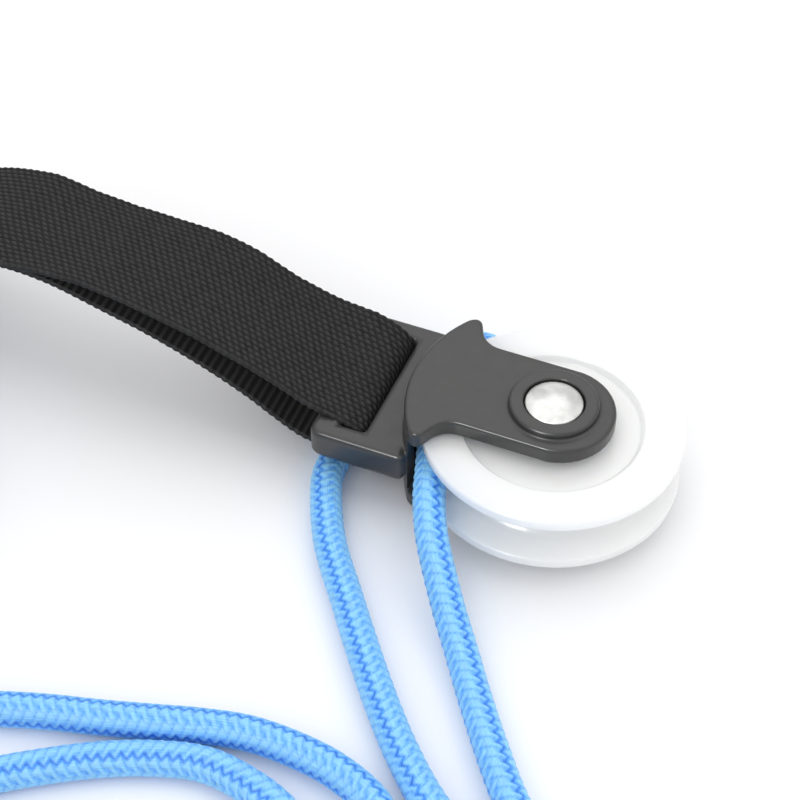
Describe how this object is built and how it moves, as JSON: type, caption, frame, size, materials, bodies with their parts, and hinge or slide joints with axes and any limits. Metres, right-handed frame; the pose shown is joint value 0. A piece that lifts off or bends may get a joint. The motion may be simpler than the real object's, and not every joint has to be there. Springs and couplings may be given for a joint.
{
  "type": "shoulder pulley",
  "caption": "Over-door shoulder exercise pulley: grooved wheel on a rivet in a fork housing, webbing door strap with foam anchor, braided rope and T-shaped foam hand grips",
  "frame": {"origin": "on the wheel's axle, in the plane of the lower boss that the housing lies on", "axes": "+Z along the axle, up from the surface; the strap leaves towards -X, and +X is the wheel's free side"},
  "size_m": [0.336, 0.2343, 0.0328],
  "materials": {
    "housing_nylon": "satin moulded nylon",
    "rivet_steel": "plated, lightly worn",
    "wheel_nylon": "milky translucent nylon",
    "bushing_bronze": "sintered bronze",
    "washer_nylon": "smooth",
    "webbing": "ribbed woven webbing",
    "grip_plastic": "fine moulded grain",
    "foam": "closed-cell foam",
    "rope_braid": "braided polyester",
    "tie_webbing": "hook-and-loop tape"
  },
  "bodies": {
    "housing": {"fork_housing": "housing_nylon", "axle_rivet": "rivet_steel", "thrust_washer_top": "washer_nylon", "thrust_washer_bottom": "washer_nylon", "rope_far": "rope_braid", "rope_far_tail": "rope_braid", "rope_near": "rope_braid", "rope_coil": "rope_braid", "coil_tie_left": "tie_webbing", "coil_tie_right": "tie_webbing", "handle_far_core": "grip_plastic", "handle_far_grip_left": "foam", "handle_far_grip_right": "foam", "handle_far_cap_left": "grip_plastic", "handle_far_cap_right": "grip_plastic", "handle_near_core": "grip_plastic", "handle_near_grip_left": "foam", "handle_near_grip_right": "foam", "handle_near_cap_left": "grip_plastic", "handle_near_cap_right": "grip_plastic"},
    "wheel": {"wheel": "wheel_nylon", "wheel_bushing": "bushing_bronze"},
    "strap": {"web_strap": "webbing", "anchor_core": "grip_plastic", "anchor_foam": "foam", "anchor_cap_left": "grip_plastic", "anchor_cap_right": "grip_plastic"}
  },
  "joints": [
    {"name": "wheel_spin", "type": "hinge", "parent": "housing", "child": "wheel", "pos_m": [0, 0, 0.012], "axis": [0, 0, 1], "continuous": true},
    {"name": "strap_swing", "type": "hinge", "parent": "housing", "child": "strap", "pos_m": [-0.0406, 0, 0.012], "axis": [0, 1, 0], "range_deg": [0, 60]}
  ]
}
